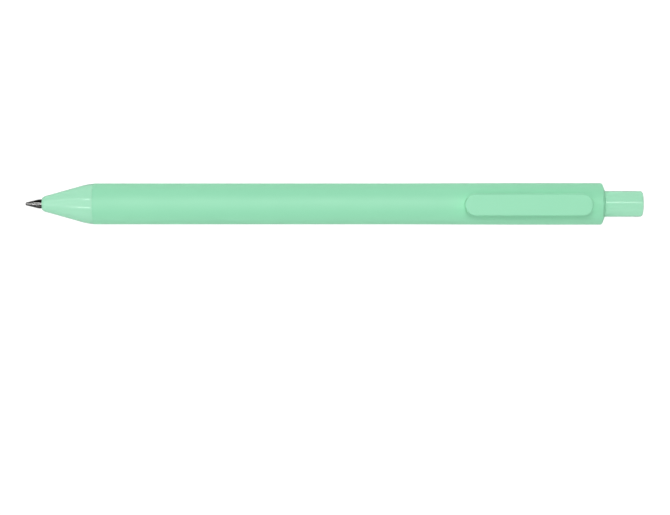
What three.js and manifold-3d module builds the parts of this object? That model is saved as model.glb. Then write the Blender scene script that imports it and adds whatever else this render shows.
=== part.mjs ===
// A slim retractable click pen: a soft-touch barrel with a side clip, a screw-on nose cone, a gel refill
// with its return spring, and a push button that works a turning cam. The writing tip is out.
//
// Millimetres. The pen is built along its own axis first: X is the distance from the ball point towards
// the button, and the axis lies on Y = 0, Z = 0, with the clip on +Z. The last lines centre the pen on
// X and stand it on Z = 0.

import * as THREE from 'three';
import { mergeVertices } from 'three/addons/utils/BufferGeometryUtils.js';
import Module from 'manifold-3d';

const wasm = await Module();
wasm.setup();

// Overall.
const LENGTH = 142.7;
const CLICK_TRAVEL = 5;
const PRESS_PAST = 1.2;
const OUTER_SIDES = 16;
const INNER_SIDES = 24;

// Barrel.
const BARREL_START = 15.85;
const BARREL_END = 133.8;
const BARREL_R = 4.72;
const BARREL_REAR_R = 4.8;
const SWELL_START = 85;
const SWELL_END = 112;
const BORE_R = 3.6;
const BUTTON_BORE_R = 3.45;
const SPIGOT_BORE_R = 4.05;
const SPIGOT_BORE_END = 25;
const REAR_DOME = 0.6;
const END_WALL = 1.5;
const BUTTON_HOLE_R = 3.05;

// Nose cone.
const NOSE_FRONT = 3.9;
const NOSE_HOLE_R = 1.2;
const NOSE_FRONT_R = 1.4;
const NOSE_RIM_LENGTH = 0.5;
const NOSE_RIM_R = 1.78;
const CONE_END = 13.9;
const CONE_END_R = 4.42;
const BAND_START = 14.6;
const BAND_START_R = 4.57;
const NOSE_SHOULDER_R = 4.64;
const SEAM_GAP = 0.1;
const SPRING_SEAT = 11;
const SPRING_ROOM_R = 2.7;
const NOSE_REAR_BORE_R = 3.2;
const SPIGOT_END = 24.2;
const THREAD_ROOT_R = 3.7;
const THREAD_CREST_R = 3.95;
const THREAD_PITCH = 1.1;
const THREAD_TURNS = 5;

// Clip. Heights are from the pen's axis, and its free end leans towards the barrel by CLIP_LEAN.
const CLIP_START = 101.2;
const CLIP_END = 130.45;
const CLIP_WIDTH = 5.05;
const CLIP_TOP = 8.04;
const CLIP_LEAN = 0.27;
const CLIP_THICKNESS = 2.55;
const CLIP_REAR_CORNER_R = 2.45;
const FREE_END_THICKNESS = 2.1;
const FREE_END_TAPER = 1.4;
const BUMP_START = 103.5;
const BUMP_LENGTH = 1.4;
const CLIP_ARM_END = 121.3;
const CLIP_SPLIT = 0.3;
const BLOCK_START = 122.1;
const BLOCK_LENGTH = 6.85;
const BLOCK_WIDTH = 3.2;
const FOOT_BOTTOM = 3.7;
const FOOT_GAP = 0.15;
const BUMP_GAP = 0.1;

// Push button.
const BUTTON_R = 2.96;
const COLLAR_R = 3.35;
const COLLAR_START = 125.8;
const COLLAR_LENGTH = 1;
const BUTTON_BORE = 2;

// Refill.
const BALL_R = 0.35;
const SHANK_R = 1.05;
const METAL_TIP_END = 11;
const HOLDER_START = 9;
const HOLDER_R = 1.75;
const HOLDER_FLANGE = 20.9;
const FLANGE_R = 3;
const TUBE_START = 21.8;
const TUBE_END = 109.1;
const TUBE_R = 3.05;
const TUBE_BORE_R = 2.4;
const FILL_R = 2.3;
const HOLDER_END = 27.5;
const INK_END = 85;
const FOLLOWER_LENGTH = 5;
const REFILL_END = 110;

// Return spring.
const SPRING_R = 2.15;
const WIRE_R = 0.16;
const SPRING_START = SPRING_SEAT + 0.3;
const SPRING_END = HOLDER_FLANGE - 0.3;
const SPRING_COILS = 11;
const CLOSED_PITCH = 0.42;

// Cam works.
const ROTOR_START = REFILL_END + 0.3;
const ROTOR_RIB_START = 112;
const ROTOR_RIB_END = 115.2;
const ROTOR_CROWN_END = 116.4;
const ROTOR_R = 2.1;
const ROTOR_PIN_R = 0.9;
const ROTOR_PIN_END = 118.2;
const SLEEVE_START = REFILL_END + CLICK_TRAVEL + 0.4;
const SLEEVE_END = COLLAR_START - PRESS_PAST - 0.2;
const SLEEVE_R = 3.5;
const SLEEVE_BORE_R = 3;
const GUIDE_RIB_INNER = 2.5;
const GUIDE_RIB_WIDTH = 2;
const KEY_TOP = 2.75;
const KEY_WIDTH = 1.5;
const KEY_START = 117.8;
const KEY_END = 123.8;
const PLUNGER_START = 116.7;
const PLUNGER_R = 2.3;
const PLUNGER_BORE_R = 1.3;
const PLUNGER_END = 131;
const CROWN_TEETH = 8;
const CROWN_DEPTH = 0.8;

const QUARTER = Math.PI / 2;
const EIGHTH = Math.PI / 4;

// Closed outlines are lists of [distance along the pen, radius]. They run up the outside and back down
// the bore, and the last point is joined to the first unless both ends lie on the axis. The flats touch
// the true circle, and one of them lies level at the bottom, where the barrel rests on it.
function turned(outline, sides) {
  const flat = Math.cos(Math.PI / sides);
  const points = outline.map(([along, radius]) => new THREE.Vector2(radius / flat, along));
  const onAxis = outline[0][1] === 0 && outline.at(-1)[1] === 0;
  if (!onAxis) {
    points.push(points[0].clone());
  }
  return new THREE.LatheGeometry(points, sides, Math.PI / sides).rotateZ(-QUARTER);
}

// Points of a circular arc in an outline, from one angle to another, in degrees from the pen's axis.
function arc(along, radius, size, from, to, steps) {
  const points = [];
  for (let step = 0; step <= steps; step++) {
    const angle = THREE.MathUtils.degToRad(THREE.MathUtils.lerp(from, to, step / steps));
    points.push([along + size * Math.cos(angle), radius + size * Math.sin(angle)]);
  }
  return points;
}

// A block between two opposite corners.
function block(low, high) {
  const size = high.map((value, axis) => value - low[axis]);
  const middle = high.map((value, axis) => (value + low[axis]) / 2);
  return new THREE.BoxGeometry(...size).translate(...middle);
}

// A prism that stands on the pen's axis: its outline is drawn along and across the pen, and it reaches
// from one radius to another at the given angle around the axis.
function spoke(outline, inner, outer, angle) {
  const shape = new THREE.Shape(outline.map(([along, across]) => new THREE.Vector2(along, across)));
  const prism = new THREE.ExtrudeGeometry(shape, { depth: outer - inner, bevelEnabled: false });
  return prism.translate(0, 0, inner).rotateX(angle);
}

function spokes(count, firstAngle, outline, inner, outer) {
  const solids = [];
  for (let index = 0; index < count; index++) {
    const angle = firstAngle + (index * 2 * Math.PI) / count;
    solids.push(solid(spoke(outline, inner, outer, angle)));
  }
  return solids;
}

// A closed geometry as a solid that can be joined and cut.
function solid(geometry) {
  const bare = geometry.clone();
  bare.deleteAttribute('normal');
  bare.deleteAttribute('uv');
  const merged = mergeVertices(bare);
  const corners = merged.index.array;
  const kept = [];
  for (let face = 0; face < corners.length; face += 3) {
    const [a, b, c] = corners.slice(face, face + 3);
    if (a !== b && b !== c && c !== a) {
      kept.push(a, b, c);
    }
  }
  const vertProperties = Float32Array.from(merged.attributes.position.array);
  const triVerts = Uint32Array.from(kept);
  return new wasm.Manifold(new wasm.Mesh({ numProp: 3, vertProperties, triVerts }));
}

function geometryOf(shape) {
  const mesh = shape.getMesh();
  const geometry = new THREE.BufferGeometry();
  geometry.setAttribute('position', new THREE.BufferAttribute(mesh.vertProperties, 3));
  geometry.setIndex(new THREE.BufferAttribute(mesh.triVerts, 1));
  geometry.computeVertexNormals();
  return geometry;
}

function joined(first, others) {
  return others.reduce((sum, other) => sum.add(other), first);
}

function cut(first, others) {
  return others.reduce((rest, other) => rest.subtract(other), first);
}

// The V notches that make a ring of teeth in an end face. Their tips point along the pen.
function crownNotches(face, depth, firstAngle) {
  const halfWidth = (Math.PI * PLUNGER_R) / CROWN_TEETH;
  const overshoot = 0.3 * Math.sign(depth);
  const spread = halfWidth * (1 + overshoot / depth);
  const outline = [
    [face - overshoot, -spread],
    [face + depth, 0],
    [face - overshoot, spread],
  ];
  const anticlockwise = depth > 0 ? outline.reverse() : outline;
  return spokes(CROWN_TEETH, firstAngle, anticlockwise, PLUNGER_BORE_R - 0.2, PLUNGER_R + 0.4);
}

function barrel() {
  const edge = 0.1;
  const rearEdgeR = 0.5;
  const body = turned(
    [
      [BARREL_START, SPIGOT_BORE_R],
      [BARREL_START, BARREL_R - edge],
      [BARREL_START + edge, BARREL_R],
      [SWELL_START, BARREL_R],
      [SWELL_END, BARREL_REAR_R],
      ...arc(BARREL_END - REAR_DOME - rearEdgeR, BARREL_REAR_R - rearEdgeR, rearEdgeR, 90, 10, 3),
      [BARREL_END, BUTTON_HOLE_R],
      [BARREL_END - END_WALL, BUTTON_HOLE_R],
      [BARREL_END - END_WALL, BUTTON_BORE_R],
      [SLEEVE_END + 0.1, BUTTON_BORE_R],
      [SLEEVE_END + 0.1, BORE_R],
      [SPIGOT_BORE_END, BORE_R],
      [SPIGOT_BORE_END, SPIGOT_BORE_R],
    ],
    OUTER_SIDES,
  );
  const halfSlot = BLOCK_WIDTH / 2 + FOOT_GAP;
  const slot = block(
    [BLOCK_START - FOOT_GAP, -halfSlot, BUTTON_BORE_R - 0.4],
    [BLOCK_START + BLOCK_LENGTH + FOOT_GAP, halfSlot, CLIP_TOP],
  );
  return geometryOf(solid(body).subtract(solid(slot)));
}

function noseCone() {
  const thread = [];
  for (let turn = 0; turn < THREAD_TURNS; turn++) {
    const start = BARREL_START + 1.2 + turn * THREAD_PITCH;
    thread.push([start, THREAD_ROOT_R]);
    thread.push([start + 0.3 * THREAD_PITCH, THREAD_CREST_R]);
    thread.push([start + 0.5 * THREAD_PITCH, THREAD_CREST_R]);
    thread.push([start + 0.8 * THREAD_PITCH, THREAD_ROOT_R]);
  }
  const shoulder = BARREL_START - SEAM_GAP;
  return turned(
    [
      [NOSE_FRONT, NOSE_HOLE_R],
      [NOSE_FRONT, NOSE_FRONT_R],
      [NOSE_FRONT + NOSE_RIM_LENGTH, NOSE_RIM_R],
      [CONE_END, CONE_END_R],
      [BAND_START, BAND_START_R],
      [shoulder, NOSE_SHOULDER_R],
      [shoulder, THREAD_ROOT_R],
      ...thread,
      [SPIGOT_END - 0.3, THREAD_ROOT_R],
      [SPIGOT_END, THREAD_ROOT_R - 0.2],
      [SPIGOT_END, NOSE_REAR_BORE_R],
      [HOLDER_FLANGE - PRESS_PAST - 0.3, NOSE_REAR_BORE_R],
      [HOLDER_FLANGE - PRESS_PAST - 0.3, SPRING_ROOM_R],
      [SPRING_SEAT, SPRING_ROOM_R],
      [SPRING_SEAT, HOLDER_R + 0.2],
      [HOLDER_START - PRESS_PAST - 0.2, HOLDER_R + 0.2],
      [HOLDER_START - PRESS_PAST - 0.6, NOSE_HOLE_R],
    ],
    OUTER_SIDES,
  );
}

// The whole clip plate: its plan outline and its side outline, each drawn as a prism, where they meet.
function clipPlate() {
  const half = CLIP_WIDTH / 2;
  const corner = CLIP_REAR_CORNER_R;
  const plan = new THREE.Shape();
  plan.absarc(CLIP_START + half, 0, half, QUARTER, 3 * QUARTER, false);
  plan.absarc(CLIP_END - corner, corner - half, corner, -QUARTER, 0, false);
  plan.absarc(CLIP_END - corner, half - corner, corner, 0, QUARTER, false);
  plan.closePath();
  const planPrism = new THREE.ExtrudeGeometry(plan, {
    depth: CLIP_TOP + 1,
    bevelEnabled: false,
    curveSegments: 8,
  });

  const rise = CLIP_LEAN / (CLIP_END - CLIP_START);
  const top = (along) => CLIP_TOP - rise * (CLIP_END - along);
  const underside = (along) => top(along) - CLIP_THICKNESS;
  const bumpBottom = BARREL_R + BUMP_GAP;
  const bumpEnd = BUMP_START + BUMP_LENGTH;
  const taperEnd = CLIP_START + FREE_END_TAPER;
  const overshoot = 1;
  const side = new THREE.Shape(
    [
      [CLIP_START - overshoot, top(CLIP_START - overshoot)],
      [CLIP_START - overshoot, top(CLIP_START) - FREE_END_THICKNESS],
      [CLIP_START, top(CLIP_START) - FREE_END_THICKNESS],
      [taperEnd, underside(taperEnd)],
      [BUMP_START - 0.15, underside(BUMP_START)],
      [BUMP_START, bumpBottom],
      [bumpEnd, bumpBottom],
      [bumpEnd + 0.45, underside(bumpEnd)],
      [CLIP_END - 0.4, underside(CLIP_END)],
      [CLIP_END, underside(CLIP_END) + 0.3],
      [CLIP_END + overshoot, underside(CLIP_END) + 0.3],
      [CLIP_END + overshoot, top(CLIP_END + overshoot)],
    ].map(([along, height]) => new THREE.Vector2(along, height)),
  );
  const sidePrism = new THREE.ExtrudeGeometry(side, { depth: CLIP_WIDTH + 2, bevelEnabled: false })
    .rotateX(QUARTER)
    .translate(0, half + 1, 0);
  return solid(planPrism).intersect(solid(sidePrism));
}

function clipArm() {
  const reach = block([CLIP_START - 1, -CLIP_WIDTH, 0], [CLIP_ARM_END, CLIP_WIDTH, CLIP_TOP + 1]);
  return geometryOf(clipPlate().intersect(solid(reach)));
}

function clipBase() {
  const start = CLIP_ARM_END + CLIP_SPLIT;
  const reach = block([start, -CLIP_WIDTH, 0], [CLIP_END + 1, CLIP_WIDTH, CLIP_TOP + 1]);
  const foot = block(
    [BLOCK_START, -BLOCK_WIDTH / 2, FOOT_BOTTOM],
    [BLOCK_START + BLOCK_LENGTH, BLOCK_WIDTH / 2, CLIP_TOP - CLIP_THICKNESS / 2],
  );
  return geometryOf(clipPlate().intersect(solid(reach)).add(solid(foot)));
}

function pushButton() {
  const edgeR = 0.5;
  const dome = 0.2;
  return turned(
    [
      [LENGTH - 1.8, 0],
      [LENGTH - 1.8, BUTTON_BORE],
      [COLLAR_START, BUTTON_BORE],
      [COLLAR_START, COLLAR_R],
      [COLLAR_START + COLLAR_LENGTH, COLLAR_R],
      [COLLAR_START + COLLAR_LENGTH, BUTTON_R],
      ...arc(LENGTH - dome - edgeR, BUTTON_R - edgeR, edgeR, 90, 10, 3),
      [LENGTH - 0.04, 1.2],
      [LENGTH, 0],
    ],
    OUTER_SIDES,
  );
}

// The tube that the button pushes: a crown of teeth at its front end turns the cam, and four keys keep
// it from turning in the guide sleeve.
function plunger() {
  const tube = turned(
    [
      [PLUNGER_START, PLUNGER_BORE_R],
      [PLUNGER_START, PLUNGER_R],
      [COLLAR_START - 0.25, PLUNGER_R],
      [COLLAR_START - 0.25, BUTTON_BORE - 0.1],
      [PLUNGER_END, BUTTON_BORE - 0.1],
      [PLUNGER_END, PLUNGER_BORE_R],
    ],
    INNER_SIDES,
  );
  const key = [
    [KEY_START, -KEY_WIDTH / 2],
    [KEY_END, -KEY_WIDTH / 2],
    [KEY_END, KEY_WIDTH / 2],
    [KEY_START, KEY_WIDTH / 2],
  ];
  const keyed = joined(solid(tube), spokes(4, EIGHTH, key, PLUNGER_R - 0.4, KEY_TOP));
  return geometryOf(cut(keyed, crownNotches(PLUNGER_START, CROWN_DEPTH, 0)));
}

// The cam: four ribs with slanted ends latch on the guide sleeve's ribs, and a crown meets the plunger's.
function camRotor() {
  const body = turned(
    [
      [ROTOR_START, 0],
      [ROTOR_START, ROTOR_R + 0.3],
      [ROTOR_RIB_START - 0.2, ROTOR_R + 0.3],
      [ROTOR_RIB_START - 0.2, ROTOR_R],
      [ROTOR_CROWN_END, ROTOR_R],
      [ROTOR_CROWN_END, ROTOR_PIN_R],
      [ROTOR_PIN_END, ROTOR_PIN_R],
      [ROTOR_PIN_END, 0],
    ],
    INNER_SIDES,
  );
  const rib = [
    [ROTOR_RIB_START, -KEY_WIDTH / 2],
    [ROTOR_RIB_END, -KEY_WIDTH / 2],
    [ROTOR_RIB_END - CROWN_DEPTH, KEY_WIDTH / 2],
    [ROTOR_RIB_START, KEY_WIDTH / 2],
  ];
  const ribbed = joined(solid(body), spokes(4, EIGHTH, rib, ROTOR_R - 0.4, KEY_TOP));
  return geometryOf(cut(ribbed, crownNotches(ROTOR_CROWN_END, -CROWN_DEPTH, EIGHTH / 2)));
}

// The sleeve in the barrel: its four inner ribs have slanted front ends that the cam latches on.
function guideSleeve() {
  const tube = turned(
    [
      [SLEEVE_START, SLEEVE_BORE_R],
      [SLEEVE_START, SLEEVE_R],
      [SLEEVE_END, SLEEVE_R],
      [SLEEVE_END, SLEEVE_BORE_R],
    ],
    INNER_SIDES,
  );
  const rib = [
    [SLEEVE_START, -GUIDE_RIB_WIDTH / 2],
    [SLEEVE_END, -GUIDE_RIB_WIDTH / 2],
    [SLEEVE_END, GUIDE_RIB_WIDTH / 2],
    [SLEEVE_START + CROWN_DEPTH, GUIDE_RIB_WIDTH / 2],
  ];
  const ribs = spokes(4, 0, rib, GUIDE_RIB_INNER, SLEEVE_R - 0.25);
  return geometryOf(joined(solid(tube), ribs));
}

function metalTip() {
  return turned(
    [
      [0.22, BALL_R],
      [0.22, 0.38],
      [2.75, 0.98],
      [3.1, SHANK_R],
      [METAL_TIP_END, SHANK_R],
      [METAL_TIP_END, 0.6],
      [2.4, 0.6],
      [1.8, 0.2],
      [0.95, 0.2],
      [0.75, BALL_R + 0.05],
      [BALL_R, BALL_R + 0.05],
    ],
    INNER_SIDES,
  );
}

function ball() {
  return new THREE.SphereGeometry(BALL_R, 12, 8).rotateZ(-QUARTER).translate(BALL_R, 0, 0);
}

function tipHolder() {
  const channelR = 0.6;
  return turned(
    [
      [HOLDER_START, SHANK_R + 0.07],
      [HOLDER_START, HOLDER_R - 0.2],
      [HOLDER_START + 0.4, HOLDER_R],
      [HOLDER_FLANGE, HOLDER_R],
      [HOLDER_FLANGE, FLANGE_R],
      [TUBE_START - 0.2, FLANGE_R],
      [TUBE_START - 0.2, FILL_R],
      [HOLDER_END, FILL_R],
      [HOLDER_END, channelR],
      [METAL_TIP_END + 0.3, channelR],
      [METAL_TIP_END + 0.3, SHANK_R + 0.07],
    ],
    INNER_SIDES,
  );
}

function refillTube() {
  return turned(
    [
      [TUBE_START, TUBE_BORE_R],
      [TUBE_START, TUBE_R],
      [TUBE_END, TUBE_R],
      [TUBE_END, TUBE_BORE_R],
    ],
    INNER_SIDES,
  );
}

// A plain filling of the refill tube.
function filling(start, end) {
  return turned(
    [
      [start, 0],
      [start, FILL_R],
      [end, FILL_R],
      [end, 0],
    ],
    INNER_SIDES,
  );
}

function refillEndPlug() {
  const ventR = 0.4;
  const plugLength = 4;
  return turned(
    [
      [TUBE_END - plugLength, ventR],
      [TUBE_END - plugLength, FILL_R - 0.2],
      [TUBE_END - plugLength + 0.4, FILL_R],
      [TUBE_END + 0.2, FILL_R],
      [TUBE_END + 0.2, FLANGE_R],
      [REFILL_END, FLANGE_R],
      [REFILL_END, ventR],
    ],
    INNER_SIDES,
  );
}

// The spring's wire: a helix whose end turns are closed up.
class SpringLine extends THREE.Curve {
  getPoint(t, target = new THREE.Vector3()) {
    const turn = t * SPRING_COILS;
    const fromEnd = Math.min(turn, SPRING_COILS - turn, 1);
    const openPitch = (SPRING_END - SPRING_START - 2 * CLOSED_PITCH) / (SPRING_COILS - 2);
    const open = THREE.MathUtils.clamp(turn - 1, 0, SPRING_COILS - 2);
    const closed = turn < SPRING_COILS / 2 ? fromEnd : 2 - fromEnd;
    const along = SPRING_START + closed * CLOSED_PITCH + open * openPitch;
    const angle = 2 * Math.PI * turn;
    return target.set(along, SPRING_R * Math.sin(angle), SPRING_R * Math.cos(angle));
  }
}

function returnSpring() {
  const wireSides = 6;
  const wire = [];
  for (let side = 0; side < wireSides; side++) {
    const angle = (side * 2 * Math.PI) / wireSides;
    wire.push(new THREE.Vector2(WIRE_R * Math.cos(angle), WIRE_R * Math.sin(angle)));
  }
  return new THREE.ExtrudeGeometry(new THREE.Shape(wire), {
    extrudePath: new SpringLine(),
    steps: 10 * SPRING_COILS,
  });
}

function finish(color, roughness, metalness = 0) {
  return new THREE.MeshStandardMaterial({ color, roughness, metalness });
}

const MATT_MINT = [0xa0e3be, 0.75];
const GLOSS_MINT = [0xabe6c6, 0.2];
const WHITE_PLASTIC = [0xe9ece9, 0.5];
const CLEAR_PLASTIC = [0xe4ecec, 0.25];

const pen = new THREE.Group();

function add(name, geometry, look) {
  const mesh = new THREE.Mesh(geometry, finish(...look));
  mesh.name = name;
  pen.add(mesh);
}

add('barrel', barrel(), MATT_MINT);
add('nose_cone', noseCone(), GLOSS_MINT);
add('clip_base', clipBase(), MATT_MINT);
add('clip_arm', clipArm(), MATT_MINT);
add('push_button', pushButton(), GLOSS_MINT);
add('plunger', plunger(), WHITE_PLASTIC);
add('cam_rotor', camRotor(), WHITE_PLASTIC);
add('guide_sleeve', guideSleeve(), CLEAR_PLASTIC);
add('metal_tip', metalTip(), [0xb8b6b2, 0.2, 1]);
add('ball', ball(), [0x8a8c90, 0.15, 1]);
add('tip_holder', tipHolder(), WHITE_PLASTIC);
add('refill_tube', refillTube(), CLEAR_PLASTIC);
add('ink_column', filling(HOLDER_END + 0.3, INK_END), [0x14151a, 0.3]);
add('ink_follower', filling(INK_END + 0.3, INK_END + 0.3 + FOLLOWER_LENGTH), [0xd9d6bf, 0.2]);
add('refill_end_plug', refillEndPlug(), WHITE_PLASTIC);
add('return_spring', returnSpring(), [0xb4b6b8, 0.3, 1]);

pen.position.set(-LENGTH / 2, 0, BARREL_REAR_R);

const group = new THREE.Group();
group.add(pen);

export default group;
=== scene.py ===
# The retractable click pen, finished for rendering: every piece is rebuilt as a fine mesh on the frame's
# own boxes, and photographed from straight above on a white table. Metres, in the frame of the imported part.
import math

import bmesh
import bpy
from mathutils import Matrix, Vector


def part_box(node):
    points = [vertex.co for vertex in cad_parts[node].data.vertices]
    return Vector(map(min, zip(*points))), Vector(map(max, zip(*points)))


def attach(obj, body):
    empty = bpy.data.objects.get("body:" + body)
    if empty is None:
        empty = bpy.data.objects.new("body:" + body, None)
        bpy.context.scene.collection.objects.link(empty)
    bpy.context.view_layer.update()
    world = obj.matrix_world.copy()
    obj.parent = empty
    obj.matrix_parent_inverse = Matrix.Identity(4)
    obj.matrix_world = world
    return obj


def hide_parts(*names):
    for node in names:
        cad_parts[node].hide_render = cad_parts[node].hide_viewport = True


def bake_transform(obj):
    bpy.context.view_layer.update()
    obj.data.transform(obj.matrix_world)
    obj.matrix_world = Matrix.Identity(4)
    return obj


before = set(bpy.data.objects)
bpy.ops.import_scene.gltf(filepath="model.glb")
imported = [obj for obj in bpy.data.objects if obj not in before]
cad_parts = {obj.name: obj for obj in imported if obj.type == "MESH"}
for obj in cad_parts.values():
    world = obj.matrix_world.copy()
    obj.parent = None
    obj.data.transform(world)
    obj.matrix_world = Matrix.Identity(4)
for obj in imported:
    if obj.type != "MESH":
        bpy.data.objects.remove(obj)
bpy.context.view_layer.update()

MM = 0.001
TURN = 2 * math.pi
TINY = 1e-9
CARVED_SIDES = 100  # sides of a piece that is carved, a number with which the cuts leave it closed


def span(node, axis):
    low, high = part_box(node)
    return low[axis], high[axis]


# Places that come from the frame.
BARREL_START, BARREL_END = span("barrel", 0)
BARREL_BOTTOM, BARREL_TOP = span("barrel", 2)
AXIS_Z = (BARREL_BOTTOM + BARREL_TOP) / 2
BARREL_REAR_R = (BARREL_TOP - BARREL_BOTTOM) / 2
TIP = span("ball", 0)[0]


def at(distance):
    """The place along the pen, a number of millimetres from the ball point."""
    return TIP + distance * MM


# Outlines and meshes.


def rounded(corners, steps=5):
    """Closed corners (x, r, fillet) as points (x, r), each fillet an arc."""
    points = []
    for number, (x, r, fillet) in enumerate(corners):
        corner = Vector((x, r))
        if fillet == 0:
            points.append((x, r))
            continue
        back = (Vector(corners[number - 1][:2]) - corner).normalized()
        ahead = (Vector(corners[(number + 1) % len(corners)][:2]) - corner).normalized()
        half = back.angle(ahead) / 2
        centre = corner + (back + ahead).normalized() * (fillet / math.sin(half))
        first = corner + back * (fillet / math.tan(half)) - centre
        last = corner + ahead * (fillet / math.tan(half)) - centre
        sweep = math.atan2(first.cross(last), first.dot(last))
        for step in range(steps + 1):
            angle = sweep * step / steps
            turned_x = first.x * math.cos(angle) - first.y * math.sin(angle)
            turned_y = first.x * math.sin(angle) + first.y * math.cos(angle)
            points.append((centre.x + turned_x, centre.y + turned_y))
    return points


def on_axis(x, r, angle):
    """The point at a distance along the pen, a radius and an angle from the clip's side."""
    return x, r * math.sin(angle), AXIS_Z + r * math.cos(angle)


def rings(bm, outline, sides, shape=None):
    """One ring of vertices for each outline point, or one vertex where the outline meets the axis."""
    made = []
    for x, r in outline:
        if r == 0:
            made.append([bm.verts.new(on_axis(x, 0, 0))])
            continue
        ring = []
        for side in range(sides):
            angle = TURN * side / sides
            place = shape(x, r, angle) if shape else (x, r, angle)
            ring.append(bm.verts.new(on_axis(*place)))
        made.append(ring)
    return made


def skin(bm, first, second, skip=()):
    """The faces between two rings, apart from the sides listed in skip."""
    sides = max(len(first), len(second))
    for side in range(sides):
        if side in skip:
            continue
        after = (side + 1) % sides
        corners = [first[side % len(first)], first[after % len(first)]]
        corners += [second[after % len(second)], second[side % len(second)]]
        bm.faces.new(dict.fromkeys(corners))


def bare_object(bm, name):
    """A named object from the mesh, with its faces pointing out."""
    bmesh.ops.recalc_face_normals(bm, faces=bm.faces)
    mesh = bpy.data.meshes.new(name)
    bm.to_mesh(mesh)
    bm.free()
    piece = bpy.data.objects.new(name, mesh)
    bpy.context.scene.collection.objects.link(piece)
    return piece


def shade(piece, material, sharp=35, bevel=0.0):
    """Smooth shading with true corners, and small edges broken by the bevel."""
    for face in piece.data.polygons:
        face.use_smooth = True
    piece.data.set_sharp_from_angle(angle=math.radians(sharp))
    piece.data.materials.clear()
    piece.data.materials.append(material)
    if bevel:
        edge = piece.modifiers.new("broken_edges", "BEVEL")
        edge.width = bevel
        edge.segments = 2
        edge.limit_method = "ANGLE"
        edge.angle_limit = math.radians(sharp)
        edge.harden_normals = False
    even = piece.modifiers.new("even_shading", "WEIGHTED_NORMAL")
    even.keep_sharp = True
    return piece


def finish_mesh(bm, name, material, sharp=35, bevel=0.0):
    """A finished object from the mesh."""
    return shade(bare_object(bm, name), material, sharp, bevel)


def apply_modifiers(piece):
    """Bakes a piece's modifiers into its mesh."""
    graph = bpy.context.evaluated_depsgraph_get()
    baked = bpy.data.meshes.new_from_object(piece.evaluated_get(graph))
    piece.modifiers.clear()
    piece.data = baked


def weld(piece):
    """Merges the points that a cut leaves almost on top of each other."""
    bm = bmesh.new()
    bm.from_mesh(piece.data)
    bmesh.ops.remove_doubles(bm, verts=bm.verts, dist=0.002 * MM)
    bm.to_mesh(piece.data)
    bm.free()


def carve(piece, operation, tools):
    """Joins the tools to a piece, or cuts them from it, and removes them."""
    for tool in tools:
        step = piece.modifiers.new("carve", "BOOLEAN")
        step.operation = operation
        step.solver = "EXACT"
        step.object = tool
    apply_modifiers(piece)
    for tool in tools:
        bpy.data.objects.remove(tool)


def spokes(count, first_angle, outline, inner, outer):
    """Prisms that stand round the pen's axis. Their outline (along, across) reaches between two radii."""
    made = []
    for number in range(count):
        angle = first_angle + TURN * number / count
        bm = bmesh.new()
        levels = []
        for r in (inner, outer):
            places = []
            for along, across in outline:
                y = r * math.sin(angle) + across * math.cos(angle)
                z = r * math.cos(angle) - across * math.sin(angle)
                places.append(bm.verts.new((along, y, AXIS_Z + z)))
            bm.faces.new(places)
            levels.append(places)
        skin(bm, *levels)
        made.append(bare_object(bm, "spoke"))
    return made


def turned_mesh(outline, sides, shape=None):
    """A solid turned about the pen's axis. Its outline closes on itself unless both ends lie on the axis."""
    bm = bmesh.new()
    made = rings(bm, outline, sides, shape)
    if outline[0][1] != 0:
        made.append(made[0])
    for first, second in zip(made, made[1:]):
        skin(bm, first, second)
    return bm


def turned(name, outline, material, sides=96, shape=None, bevel=0.0, sharp=35):
    return finish_mesh(turned_mesh(outline, sides, shape), name, material, sharp, bevel)


# Materials. Every surface reads its place on the piece, so its grain moves with it.


class Look:
    """A Principled material and the nodes that vary it over the surface."""

    def __init__(self, name, **sockets):
        self.material = bpy.data.materials.new(name)
        self.material.use_nodes = True
        self.nodes = self.material.node_tree.nodes
        self.links = self.material.node_tree.links
        self.shader = self.nodes["Principled BSDF"]
        for socket, value in sockets.items():
            self.shader.inputs[socket.replace("_", " ")].default_value = value
        self.place = self.nodes.new("ShaderNodeTexCoord").outputs["Object"]

    def link(self, output, node, socket):
        self.links.new(output, node.inputs[socket])

    def noise(self, size, detail=3.0, stretch=(1, 1, 1)):
        """Noise with features of about the given size, drawn out along the given axes."""
        mapping = self.nodes.new("ShaderNodeMapping")
        mapping.inputs["Scale"].default_value = tuple(1 / (size * s) for s in stretch)
        self.link(self.place, mapping, "Vector")
        texture = self.nodes.new("ShaderNodeTexNoise")
        texture.inputs["Scale"].default_value = 1.0
        texture.inputs["Detail"].default_value = detail
        self.link(mapping.outputs["Vector"], texture, "Vector")
        return texture.outputs["Fac"]

    def ramp(self, value, low, high):
        """The value's middle range as a colour or a number between low and high."""
        colours = self.nodes.new("ShaderNodeValToRGB")
        ends = colours.color_ramp.elements
        ends[0].position, ends[1].position = 0.3, 0.7
        ends[0].color = low if isinstance(low, tuple) else (low, low, low, 1)
        ends[1].color = high if isinstance(high, tuple) else (high, high, high, 1)
        self.link(value, colours, "Fac")
        return colours.outputs["Color"]

    def vary(self, socket, value, low, high):
        self.link(self.ramp(value, low, high), self.shader, socket)

    def bump(self, value, height, after=None):
        """Raises the surface by up to height where the value is 1."""
        node = self.nodes.new("ShaderNodeBump")
        node.inputs["Distance"].default_value = height
        node.inputs["Strength"].default_value = 1.0
        self.link(value, node, "Height")
        if after:
            self.link(after, node, "Normal")
        self.link(node.outputs["Normal"], self.shader, "Normal")
        return node.outputs["Normal"]


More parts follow.
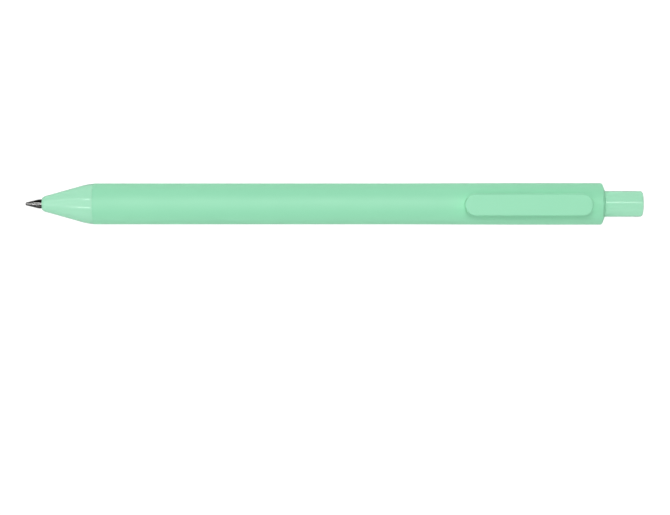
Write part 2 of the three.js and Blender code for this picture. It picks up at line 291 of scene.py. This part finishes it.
def soft_touch():
    """Rubbery lacquer over plastic: a very fine grain, a little sheen and faint handling marks."""
    look = Look("soft_touch_mint", IOR=1.5, Specular_IOR_Level=0.45)
    look.vary("Base Color", look.noise(18 * MM), (0.294, 0.744, 0.469, 1), (0.302, 0.753, 0.477, 1))
    look.vary("Roughness", look.noise(7 * MM, 4), 0.5, 0.56)
    grain = look.bump(look.noise(0.09 * MM, 2), 0.004 * MM)
    look.bump(look.noise(1.6 * MM, 2), 0.006 * MM, grain)
    return look.material


def gloss_mint():
    """Polished moulded plastic with the faint ripple of its mould."""
    look = Look("gloss_mint", IOR=1.5, Specular_IOR_Level=0.4)
    look.vary("Base Color", look.noise(12 * MM), (0.392, 0.807, 0.558, 1), (0.4, 0.815, 0.565, 1))
    look.vary("Roughness", look.noise(3 * MM, 4), 0.04, 0.07)
    look.bump(look.noise(2.2 * MM, 1), 0.0008 * MM)
    return look.material


def turned_metal():
    """Nickel silver from the lathe: bright, with fine rings cut round it."""
    look = Look("turned_metal", Metallic=1.0)
    rings_cut = look.noise(0.05 * MM, 2, (1, 400, 400))
    look.vary("Base Color", look.noise(0.8 * MM), (0.19, 0.188, 0.185, 1), (0.23, 0.228, 0.225, 1))
    look.vary("Roughness", rings_cut, 0.12, 0.18)
    look.bump(rings_cut, 0.00005 * MM)
    return look.material


def carbide():
    look = Look("tungsten_carbide", Metallic=1.0)
    look.vary("Base Color", look.noise(0.1 * MM), (0.1, 0.1, 0.105, 1), (0.14, 0.14, 0.145, 1))
    look.vary("Roughness", look.noise(0.03 * MM), 0.12, 0.25)
    return look.material


def spring_steel():
    """Drawn wire with die marks along it."""
    look = Look("spring_steel", Metallic=1.0)
    look.vary("Base Color", look.noise(0.4 * MM), (0.42, 0.42, 0.43, 1), (0.55, 0.55, 0.56, 1))
    look.vary("Roughness", look.noise(0.1 * MM), 0.2, 0.35)
    return look.material


def acetal(name, red, green, blue):
    """Milky moulded plastic."""
    look = Look(name, IOR=1.48, Subsurface_Weight=0.25, Subsurface_Scale=0.001)
    colour = (red, green, blue, 1)
    paler = (red * 1.04, green * 1.04, blue * 1.03, 1)
    look.vary("Base Color", look.noise(4 * MM), colour, paler)
    look.vary("Roughness", look.noise(1.5 * MM), 0.35, 0.5)
    look.bump(look.noise(0.3 * MM), 0.003 * MM)
    return look.material


def clear_tube():
    look = Look("clear_tube", IOR=1.5, Transmission_Weight=0.9)
    look.vary("Base Color", look.noise(5 * MM), (0.86, 0.9, 0.9, 1), (0.92, 0.95, 0.95, 1))
    look.vary("Roughness", look.noise(2 * MM, stretch=(6, 1, 1)), 0.08, 0.2)
    return look.material


def gel(name, red, green, blue, through=0.0):
    look = Look(name, IOR=1.4, Transmission_Weight=through)
    colour = (red, green, blue, 1)
    look.vary("Base Color", look.noise(6 * MM), colour, (red * 1.2, green * 1.2, blue * 1.2, 1))
    look.vary("Roughness", look.noise(1 * MM), 0.1, 0.25)
    return look.material


MINT_SOFT = soft_touch()
MINT_GLOSS = gloss_mint()
METAL = turned_metal()
CARBIDE = carbide()
STEEL = spring_steel()
MECHANISM = acetal("mechanism_acetal", 0.78, 0.8, 0.78)
REFILL_PLASTIC = acetal("refill_acetal", 0.72, 0.73, 0.7)
CLEAR = clear_tube()
INK = gel("black_gel_ink", 0.008, 0.008, 0.01)
GREASE = gel("follower_grease", 0.75, 0.72, 0.55, 0.5)

# Pieces.


def barrel():
    """The soft-touch tube, with the spigot's thread bore in front, the button's hole behind and a slot for
    the clip's foot."""
    front_r = 4.72 * MM
    rear_r = BARREL_REAR_R
    bore_r, button_bore_r = 3.6 * MM, 3.45 * MM
    hole_r = 3.05 * MM
    slot_start, slot_end = at(121.95), at(129.1)
    slot_half = 1.75 * MM
    inner_end = at(132.3)
    sides = 144
    slot_sides = 14

    outside = rounded(
        [
            (BARREL_START, front_r, 0.05 * MM),
            (at(85), front_r, 0),
            (at(112), rear_r, 0),
            (slot_start, rear_r, 0),
            (slot_end, rear_r, 0),
            (BARREL_END - 0.63 * MM, rear_r, 0.42 * MM),
            (BARREL_END, hole_r + 0.15 * MM, 0.1 * MM),
            (BARREL_END - 0.05 * MM, hole_r, 0.06 * MM),
            (inner_end, hole_r, 0),
            (inner_end, button_bore_r, 0),
            (slot_end, button_bore_r, 0),
            (at(124.5), button_bore_r, 0),
            (at(124.5), bore_r, 0),
            (slot_start, bore_r, 0),
            (at(25), bore_r, 0),
            (at(25), 4.05 * MM, 0),
            (BARREL_START, 4.05 * MM, 0.08 * MM),
        ]
    )

    def spread(x, r, angle):
        """Draws the ring's points aside, so that the slot's two edges are straight and parallel."""
        signed = math.remainder(angle, TURN)
        edge_now = math.pi * slot_sides / sides
        edge_then = math.asin(slot_half / r)
        if abs(signed) <= edge_now:
            moved = signed * edge_then / edge_now
        else:
            beyond = (abs(signed) - edge_now) / (math.pi - edge_now)
            moved = math.copysign(edge_then + beyond * (math.pi - edge_then), signed)
        return x, r, moved

    bm = bmesh.new()
    made = rings(bm, outside, sides, spread)
    half = slot_sides // 2
    open_sides = [side % sides for side in range(-half, half)]

    def within(place):
        return slot_start - TINY <= place[0] <= slot_end + TINY and place[1] > hole_r

    for number, ring in enumerate(made):
        following = (number + 1) % len(made)
        in_slot = within(outside[number]) and within(outside[following])
        skin(bm, ring, made[following], open_sides if in_slot else ())

    inside = [number for number, place in enumerate(outside) if within(place)]
    outer_start, outer_end = inside[0], inside[1]
    bore = inside[2:]
    for outer, inner in ((outer_start, bore[-1]), (outer_end, bore[0])):
        for side in range(-half, half):
            first, second = made[outer][side % sides], made[outer][(side + 1) % sides]
            third, fourth = made[inner][(side + 1) % sides], made[inner][side % sides]
            bm.faces.new((first, second, third, fourth))
    for side in (-half % sides, half):
        wall = [made[outer_start][side], made[outer_end][side]] + [made[n][side] for n in bore]
        bm.faces.new(wall)
    return finish_mesh(bm, "barrel_shell", MINT_SOFT, bevel=0.05 * MM)


def nose_cone():
    """The glossy cone, with its coarse screw thread on the spigot."""
    front, spigot_end = span("nose_cone", 0)
    shoulder = BARREL_START - 0.02 * MM
    root, crest = 3.7 * MM, 3.95 * MM
    pitch = 1.1 * MM
    thread_start, thread_end = at(17), at(22.8)
    steps = 12

    def thread(x, r, angle):
        """A rounded trapezoid ridge that climbs one pitch a turn and fades at both ends."""
        if not (thread_start <= x <= thread_end and r > root - 0.01 * MM):
            return x, r, angle
        phase = ((x - thread_start) / pitch - angle / TURN) % 1
        ridge = min(1.0, max(0.0, 1.6 - abs(phase - 0.5) * 5))
        fade = min(1.0, (x - thread_start) / pitch, (thread_end - x) / pitch)
        return x, r + (crest - root) * ridge * fade, angle

    turns = (thread_end - thread_start) / pitch
    count = round(turns * steps)
    threaded = [(thread_start + (thread_end - thread_start) * n / count, root, 0) for n in range(count + 1)]
    outline = rounded(
        [
            (front, 1.2 * MM, 0.06 * MM),
            (front, 1.4 * MM, 0.12 * MM),
            (at(4.4), 1.76 * MM, 0.4 * MM),
            (at(14.15), 4.5 * MM, 12 * MM),
            (shoulder, 4.66 * MM, 0.04 * MM),
            (shoulder, root, 0),
            *threaded,
            (spigot_end - 0.3 * MM, root, 0),
            (spigot_end, root - 0.2 * MM, 0),
            (spigot_end, 3.2 * MM, 0.1 * MM),
            (at(19.4), 3.2 * MM, 0),
            (at(19.4), 2.7 * MM, 0),
            (at(11), 2.7 * MM, 0),
            (at(11), 1.95 * MM, 0),
            (at(7.6), 1.95 * MM, 0),
            (at(7.2), 1.2 * MM, 0),
        ]
    )
    return turned("nose_shell", outline, MINT_GLOSS, sides=128, shape=thread, bevel=0.03 * MM)


def push_button():
    start, end = span("push_button", 0)
    r = 2.96 * MM
    outline = rounded(
        [
            (end - 1.8 * MM, 0, 0),
            (end - 1.8 * MM, 2 * MM, 0.3 * MM),
            (start, 2 * MM, 0),
            (start, 3.35 * MM, 0.1 * MM),
            (start + 1 * MM, 3.35 * MM, 0.1 * MM),
            (start + 1 * MM, r, 0),
            (end - 0.12 * MM, r, 0.5 * MM),
            (end - 0.02 * MM, 1.2 * MM, 0),
            (end, 0, 0),
        ],
        steps=7,
    )
    return turned("button_cap", outline, MINT_GLOSS, sides=128)


def clip():
    """The one-piece clip: a slim plate with a full round free end, a bump that meets the barrel, and a
    block whose foot goes into the barrel's slot."""
    start = span("clip_arm", 0)[0]
    end = span("clip_base", 0)[1]
    low, high = span("clip_arm", 1)
    half = (high - low) / 2
    rear_top = span("clip_base", 2)[1]
    thickness = 2.55 * MM
    lean = 0.27 * MM / (end - start)
    rear_corner = 2.45 * MM
    edge = 0.34 * MM
    bump_bottom = BARREL_TOP - 0.01 * MM

    def top(x):
        return rear_top - lean * (end - x)

    def bottom(x):
        return top(x) - thickness

    def underside(x):
        """Height of the underside: rounded up at the free end, a bump, then flat."""
        places = [
            (start, top(start) - 2.05 * MM),
            (at(101.6), top(start) - 2.33 * MM),
            (at(102.5), bottom(at(102.5))),
            (at(103.3), bottom(at(103.3))),
            (at(103.55), bump_bottom + 0.12 * MM),
            (at(103.7), bump_bottom),
            (at(104.7), bump_bottom),
            (at(104.95), bump_bottom + 0.12 * MM),
            (at(105.3), bottom(at(105.3))),
            (end - 0.5 * MM, bottom(end)),
            (end, bottom(end) + 0.25 * MM),
        ]
        for (x0, z0), (x1, z1) in zip(places, places[1:]):
            if x <= x1:
                share = max(0.0, (x - x0) / (x1 - x0))
                return z0 + (z1 - z0) * share
        return places[-1][1]

    def plan(inset):
        """Half of the plan outline, from the free end to the rear end, drawn in by an inset."""
        free_r = half - inset
        points = []
        for step in range(21):
            angle = math.pi / 2 * step / 20
            points.append((start + half - free_r * math.cos(angle), free_r * math.sin(angle)))
        run = 160
        first, last = start + half, end - rear_corner
        for step in range(1, run):
            points.append((first + (last - first) * step / run, half - inset))
        for step in range(11):
            angle = math.pi / 2 * step / 10
            r = rear_corner - inset
            across = half - rear_corner + r * math.cos(angle)
            points.append((last + r * math.sin(angle), across))
        return points

    layers = []
    arc_steps = 5
    for step in range(arc_steps + 1):
        angle = math.pi / 2 * step / arc_steps
        layers.append((edge * (1 - math.sin(angle)), lambda x, a=angle: top(x) - edge * (1 - math.cos(a))))
    for step in range(arc_steps + 1):
        angle = math.pi / 2 * step / arc_steps
        inset = edge * (1 - math.cos(angle))
        layers.append((inset, lambda x, a=angle: underside(x) + edge * (1 - math.sin(a))))

    bm = bmesh.new()
    loops = []
    for inset, height in layers:
        points = plan(inset)
        left = [bm.verts.new((x, y, height(x))) for x, y in points]
        right = []
        for n, (x, y) in enumerate(points):
            right.append(bm.verts.new((x, -y, height(x))) if y > TINY else left[n])
        loops.append((left, right))
    for (left, right), (next_left, next_right) in zip(loops, loops[1:]):
        for side, next_side in ((left, next_left), (right, next_right)):
            for n in range(len(side) - 1):
                bm.faces.new((side[n], side[n + 1], next_side[n + 1], next_side[n]))
        bm.faces.new((left[-1], right[-1], next_right[-1], next_left[-1]))
    for left, right in (loops[0], loops[-1]):
        for n in range(len(left) - 1):
            corners = (left[n], left[n + 1], right[n + 1], right[n])
            bm.faces.new(dict.fromkeys(corners))
    plate = bare_object(bm, "clip_moulding")

    foot_low = Vector((at(122.1), -1.6 * MM, AXIS_Z + 3.7 * MM))
    foot_high = Vector((at(128.95), 1.6 * MM, bottom(end) + 0.6 * MM))
    bm = bmesh.new()
    bmesh.ops.create_cube(bm, size=1)
    for vertex in bm.verts:
        for axis in range(3):
            vertex.co[axis] = foot_high[axis] if vertex.co[axis] > 0 else foot_low[axis]
    upright = [e for e in bm.edges if abs(e.verts[0].co.z - e.verts[1].co.z) > 0.1 * MM]
    bmesh.ops.bevel(bm, geom=upright, offset=0.25 * MM, segments=4, affect="EDGES", profile=0.5)
    carve(plate, "UNION", [bare_object(bm, "clip_foot")])
    return shade(plate, MINT_SOFT)


def crown_notches(face, depth, first_angle):
    """The V cuts that make a ring of eight teeth in an end face. Their tips point along the pen, and a
    small turn keeps them from running along the tube's own edges."""
    tube_r, teeth = 2.3 * MM, 8
    off_the_edges = math.radians(0.7)
    beyond = math.copysign(0.3 * MM, depth)
    spread = math.pi * tube_r / teeth * (1 + beyond / depth)
    outline = [(face - beyond, -spread), (face + depth, 0), (face - beyond, spread)]
    return spokes(teeth, first_angle + off_the_edges, outline, 1.1 * MM, 2.7 * MM)


def plunger():
    """The tube pressed into the button: a crown of teeth in front, and four keys that stop it turning."""
    start, end = span("plunger", 0)
    bore, r, neck = 1.3 * MM, 2.3 * MM, 1.9 * MM
    outline = rounded(
        [
            (start, bore, 0),
            (start, r, 0),
            (at(125.55), r, 0.15 * MM),
            (at(125.55), neck, 0.1 * MM),
            (end, neck, 0.2 * MM),
            (end, bore, 0.1 * MM),
        ]
    )
    piece = bare_object(turned_mesh(outline, CARVED_SIDES), "button_plunger")
    key_half = 0.75 * MM
    key = [(at(117.8), -key_half), (at(123.8), -key_half), (at(123.8), key_half), (at(117.8), key_half)]
    carve(piece, "UNION", spokes(4, TURN / 8, key, 1.9 * MM, 2.75 * MM))
    carve(piece, "DIFFERENCE", crown_notches(start, 0.8 * MM, 0))
    weld(piece)
    return shade(piece, MECHANISM, bevel=0.03 * MM)


def cam_rotor():
    """The cam: four ribs with slanted ends, a crown that meets the plunger's, and a pin that centres it."""
    start, end = span("cam_rotor", 0)
    foot, r, pin = 2.4 * MM, 2.1 * MM, 0.9 * MM
    crown = at(116.4)
    outline = rounded(
        [
            (start, 0, 0),
            (start, foot, 0.15 * MM),
            (at(111.8), foot, 0.15 * MM),
            (at(111.8), r, 0.1 * MM),
            (crown, r, 0),
            (crown, pin, 0),
            (end, pin, 0.2 * MM),
            (end, 0, 0),
        ]
    )
    piece = bare_object(turned_mesh(outline, CARVED_SIDES), "turning_cam")
    rib_start, rib_end, rib_half = at(112), at(115.2), 0.75 * MM
    rib = [
        (rib_start, -rib_half),
        (rib_end, -rib_half),
        (rib_end - 0.8 * MM, rib_half),
        (rib_start, rib_half),
    ]
    carve(piece, "UNION", spokes(4, TURN / 8, rib, 1.7 * MM, 2.75 * MM))
    carve(piece, "DIFFERENCE", crown_notches(crown, -0.8 * MM, TURN / 16))
    weld(piece)
    return shade(piece, MECHANISM, bevel=0.03 * MM)


def guide_sleeve():
    """The sleeve in the barrel, whose four inner ribs have slanted front ends that the cam latches on."""
    start, end = span("guide_sleeve", 0)
    bore, r = 3 * MM, 3.5 * MM
    corners = [(start, bore, 0.1 * MM), (start, r, 0.1 * MM), (end, r, 0.1 * MM), (end, bore, 0.1 * MM)]
    piece = bare_object(turned_mesh(rounded(corners), CARVED_SIDES), "ribbed_sleeve")
    half = 1 * MM
    rib_start, rib_end = start + 0.02 * MM, end - 0.02 * MM
    rib = [(rib_start, -half), (rib_end, -half), (rib_end, half), (rib_start + 0.8 * MM, half)]
    carve(piece, "UNION", spokes(4, 0, rib, 2.5 * MM, 3.2 * MM))
    weld(piece)
    return shade(piece, MECHANISM, bevel=0.03 * MM)


def metal_tip():
    """The writing point: a turned cone with a crimped lip round the ball, and its shank."""
    start, end = span("metal_tip", 0)
    ball_r = 0.35 * MM
    outline = rounded(
        [
            (start, ball_r, 0),
            (start, 0.375 * MM, 0.015 * MM),
            (at(0.52), 0.42 * MM, 0.1 * MM),
            (at(2.85), 1.0 * MM, 0.5 * MM),
            (at(3.2), 1.05 * MM, 0.3 * MM),
            (end, 1.05 * MM, 0.1 * MM),
            (end, 0.6 * MM, 0),
            (at(2.4), 0.6 * MM, 0),
            (at(1.8), 0.2 * MM, 0),
            (at(0.95), 0.2 * MM, 0),
            (at(0.75), 0.4 * MM, 0),
            (at(0.35), 0.4 * MM, 0),
        ]
    )
    return turned("point_cone", outline, METAL, sides=96)


def ball():
    low, high = span("ball", 0)
    r = (high - low) / 2
    steps = 32
    outline = []
    for step in range(steps + 1):
        angle = math.pi * step / steps
        across = r * math.sin(angle) if 0 < step < steps else 0
        outline.append((low + r - r * math.cos(angle), across))
    return turned("writing_ball", outline, CARBIDE, sides=64)


def tip_holder():
    start, end = span("tip_holder", 0)
    flange = at(20.9)
    outline = rounded(
        [
            (start, 1.12 * MM, 0),
            (start, 1.6 * MM, 0.1 * MM),
            (start + 0.4 * MM, 1.75 * MM, 0.2 * MM),
            (flange, 1.75 * MM, 0),
            (flange, 3 * MM, 0.12 * MM),
            (at(21.6), 3 * MM, 0.05 * MM),
            (at(21.6), 2.3 * MM, 0),
            (end, 2.3 * MM, 0.2 * MM),
            (end, 0.6 * MM, 0),
            (at(11.3), 0.6 * MM, 0),
            (at(11.3), 1.12 * MM, 0),
        ]
    )
    return turned("point_holder", outline, REFILL_PLASTIC, sides=96, bevel=0.03 * MM)


def refill_tube():
    start, end = span("refill_tube", 0)
    outer, inner = 3.05 * MM, 2.4 * MM
    corners = [(start, inner, 0.08 * MM), (start, outer, 0.08 * MM)]
    corners += [(end, outer, 0.08 * MM), (end, inner, 0.08 * MM)]
    return turned("tube_clear", rounded(corners), CLEAR, sides=96)


def filling(name, node, material, hollow):
    """What fills the tube, with a meniscus of the given depth at both ends."""
    start, end = span(node, 0)
    r = 2.38 * MM
    steps = 8
    front = [(start + hollow * (1 - (n / steps) ** 2), r * n / steps) for n in range(steps + 1)]
    rear = [(end - hollow * (1 - (n / steps) ** 2), r * n / steps) for n in range(steps, -1, -1)]
    return turned(name, front + rear, material, sides=64)


def end_plug():
    start, end = span("refill_end_plug", 0)
    vent = 0.4 * MM
    flange = at(109.3)
    outline = rounded(
        [
            (start, vent, 0.05 * MM),
            (start, 2.1 * MM, 0.1 * MM),
            (start + 0.4 * MM, 2.3 * MM, 0.1 * MM),
            (flange, 2.3 * MM, 0),
            (flange, 3 * MM, 0.1 * MM),
            (end, 3 * MM, 0.15 * MM),
            (end, vent, 0.05 * MM),
        ]
    )
    return turned("end_plug_vented", outline, REFILL_PLASTIC, sides=96)


def spring():
    """The return spring: eleven turns of fine wire with closed ends."""
    low, high = span("return_spring", 0)
    wire_r = 0.16 * MM
    mean_r = 2.15 * MM
    first, last = low + wire_r, high - wire_r
    coils = 11
    closed = 0.42 * MM
    per_coil, wire_sides = 40, 12
    open_pitch = (last - first - 2 * closed) / (coils - 2)

    def centre(turn):
        along = first + min(turn, 1) * closed
        along += min(max(turn - 1, 0), coils - 2) * open_pitch
        along += max(turn - (coils - 1), 0) * closed
        return Vector(on_axis(along, mean_r, TURN * turn))

    bm = bmesh.new()
    made = []
    count = coils * per_coil
    for step in range(count + 1):
        turn = step / per_coil
        middle = centre(turn)
        ahead = (centre(turn + 0.001) - centre(turn - 0.001)).normalized()
        outward = Vector((0, middle.y, middle.z - AXIS_Z)).normalized()
        across = ahead.cross(outward).normalized()
        ring = []
        for side in range(wire_sides):
            angle = TURN * side / wire_sides
            reach = outward * math.cos(angle) + across * math.sin(angle)
            ring.append(bm.verts.new(middle + reach * wire_r))
        made.append(ring)
    for first_ring, second_ring in zip(made, made[1:]):
        skin(bm, first_ring, second_ring)
    bm.faces.new(made[0])
    bm.faces.new(made[-1])
    return finish_mesh(bm, "spring_wire", STEEL, sharp=50)


def place(piece, body, slot, *nodes):
    """Hands a finished piece to the frame: its body and the nodes it stands in for. The material slot is not
    used.
    """
    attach(piece, body)
    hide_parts(*nodes)


place(barrel(), "pen_body", "mint_soft_touch", "barrel")
place(nose_cone(), "nose", "mint_gloss", "nose_cone")
place(push_button(), "button", "mint_gloss", "push_button")
place(metal_tip(), "refill", "tip_metal", "metal_tip")
place(ball(), "refill", "carbide", "ball")
place(tip_holder(), "refill", "refill_plastic", "tip_holder")
place(refill_tube(), "refill", "clear_tube", "refill_tube")
place(filling("ink_fill", "ink_column", INK, 0.6 * MM), "refill", "ink", "ink_column")
follower_plug = filling("follower_plug", "ink_follower", GREASE, 0.3 * MM)
place(follower_plug, "refill", "follower_grease", "ink_follower")
place(end_plug(), "refill", "refill_plastic", "refill_end_plug")
place(plunger(), "button", "mechanism_plastic", "plunger")
place(cam_rotor(), "cam", "mechanism_plastic", "cam_rotor")
place(guide_sleeve(), "pen_body", "mechanism_plastic", "guide_sleeve")

clip_piece = clip()
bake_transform(clip_piece)
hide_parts("clip_base", "clip_arm")

spring_piece = spring()
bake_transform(spring_piece)
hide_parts("return_spring")


# The studio: a white table and backdrop, broad lamps above, narrow ones for the streaks, and a dim sky.


def seen_by(thing, camera=False, diffuse=False, glossy=False, transmission=False, shadow=False):
    """Says which rays meet a piece of the studio."""
    thing.visible_camera = camera
    thing.visible_diffuse = diffuse
    thing.visible_glossy = glossy
    thing.visible_transmission = transmission
    thing.visible_shadow = shadow


def white(name, low, high, glow):
    """Matt white card or paint that gives off some light of its own."""
    look = Look(name, Roughness=0.9, Emission_Color=(1, 1, 1, 1), Emission_Strength=glow)
    look.vary("Base Color", look.noise(200 * MM), (low, low, low, 1), (high, high, high, 1))
    return look.material


def plane(name, half, height, material):
    bm = bmesh.new()
    corners = [(-half, -half), (half, -half), (half, half), (-half, half)]
    bm.faces.new([bm.verts.new((x, y, height)) for x, y in corners])
    return finish_mesh(bm, name, material)


def surroundings():
    """The table and the backdrop that the camera sees, and the glowing sheet that lights the pen from
    under it. They are apart, so that the table is white in the picture without blurring the pen's edges."""
    half = 5
    seen_by(plane("table", half, 0, white("table_paint", 0.14, 0.16, 0.92)), camera=True, transmission=True)
    seen_by(plane("light_table", half, -0.1 * MM, white("lit_card", 0.88, 0.9, 0.86)), diffuse=True)
    bm = bmesh.new()
    bmesh.ops.create_uvsphere(bm, u_segments=48, v_segments=24, radius=half)
    dome = finish_mesh(bm, "backdrop", white("backdrop_paint", 0.1, 0.12, 1.0))
    seen_by(dome, camera=True, transmission=True)


def area_light(name, radiance, start, end, width, streak=False):
    """A lamp that faces straight down, from one end of its middle line to the other. A streak lamp shows
    in reflections and lights nothing else."""
    first, last = Vector(start), Vector(end)
    data = bpy.data.lights.new(name, "AREA")
    data.shape = "RECTANGLE"
    data.size, data.size_y = (last - first).length, width
    data.energy = radiance * math.pi * data.size * data.size_y
    light = bpy.data.objects.new(name, data)
    light.location = (first + last) / 2
    light.rotation_euler.z = math.atan2(last.y - first.y, last.x - first.x)
    light.visible_diffuse = not streak
    bpy.context.scene.collection.objects.link(light)


def sky():
    """Soft light from the near side, strongest low down. The far side is dark and the ground is dim."""
    world = bpy.data.worlds.new("studio")
    world.use_nodes = True
    bpy.context.scene.world = world
    nodes, links = world.node_tree.nodes, world.node_tree.links
    direction = nodes.new("ShaderNodeTexCoord").outputs["Generated"]
    split = nodes.new("ShaderNodeSeparateXYZ")
    links.new(direction, split.inputs["Vector"])

    height = nodes.new("ShaderNodeMapRange")
    height.inputs["From Min"].default_value = -1
    links.new(split.outputs["Z"], height.inputs["Value"])
    level = nodes.new("ShaderNodeValToRGB")
    ends = level.color_ramp.elements
    stops = ((0.5, 0), (0.62, 0.55), (0.75, 0.36), (0.85, 0.34), (0.925, 0))
    while len(ends) < len(stops):
        ends.new(1)
    for end, (position, value) in zip(ends, stops):
        end.position = position
        end.color = (value, value, value, 1)
    links.new(height.outputs["Result"], level.inputs["Fac"])

    nearness = nodes.new("ShaderNodeMapRange")
    nearness.inputs["From Min"].default_value = 0.2
    nearness.inputs["From Max"].default_value = -0.2
    links.new(split.outputs["Y"], nearness.inputs["Value"])

    above = nodes.new("ShaderNodeMath")
    above.operation = "MULTIPLY"
    links.new(level.outputs["Color"], above.inputs[0])
    links.new(nearness.outputs["Result"], above.inputs[1])
    below = nodes.new("ShaderNodeMapRange")
    below.inputs["From Min"].default_value = 0
    below.inputs["From Max"].default_value = -0.02
    below.inputs["To Max"].default_value = 0.16
    links.new(split.outputs["Z"], below.inputs["Value"])
    both = nodes.new("ShaderNodeMath")
    links.new(above.outputs["Value"], both.inputs[0])
    links.new(below.outputs["Result"], both.inputs[1])
    nodes["Background"].inputs["Color"].default_value = (1, 1, 1, 1)
    links.new(both.outputs["Value"], nodes["Background"].inputs["Strength"])


def studio():
    area_light("key", 11.6, (-0.14, 0.35, 1.0), (0.14, 0.35, 1.0), 0.7)
    area_light("key_fill", 3.15, (-0.14, -0.35, 1.0), (0.14, -0.35, 1.0), 0.7)
    area_light("overhead_front", 1.2, (-1.2, 0.12, 1.0), (-0.14, 0.12, 1.0), 0.85)
    area_light("streak_rear", 17.0, (0.16, 0.274, 0.99), (0.28, 0.274, 0.99), 0.06, streak=True)
    area_light("streak_back_near", 12.0, (-0.15, 0.47, 0.98), (-0.62, 0.583, 0.98), 0.06, streak=True)
    area_light("streak_back_far", 17.0, (-0.62, 0.583, 0.98), (-1.1, 0.88, 0.98), 0.06, streak=True)
    area_light("streak_front_near", 12.0, (-0.15, -0.37, 0.98), (-0.62, -0.393, 0.98), 0.06, streak=True)
    area_light("streak_front_far", 17.0, (-0.62, -0.393, 0.98), (-0.95, -0.41, 0.98), 0.06, streak=True)
    sky()


def camera():
    """Above the pen, at the distance whose perspective the photograph shows. The pen lies rolled a little
    and above the middle of the picture, so the camera leans over it and points past it."""
    distance = 480 * MM
    field = 155 * MM
    lean = math.radians(1.73)
    pen_above_middle = 12.4 * MM
    data = bpy.data.cameras.new("camera")
    data.sensor_width = 36
    data.lens = data.sensor_width * distance / field
    data.clip_start = 0.01
    view = bpy.data.objects.new("camera", data)
    view.location = (0.22 * MM, distance * math.sin(lean), AXIS_Z + distance * math.cos(lean))
    view.rotation_euler.x = -lean - math.atan(pen_above_middle / distance)
    bpy.context.scene.collection.objects.link(view)
    bpy.context.scene.camera = view


surroundings()
studio()
camera()
bpy.context.scene.view_settings.view_transform = "Standard"
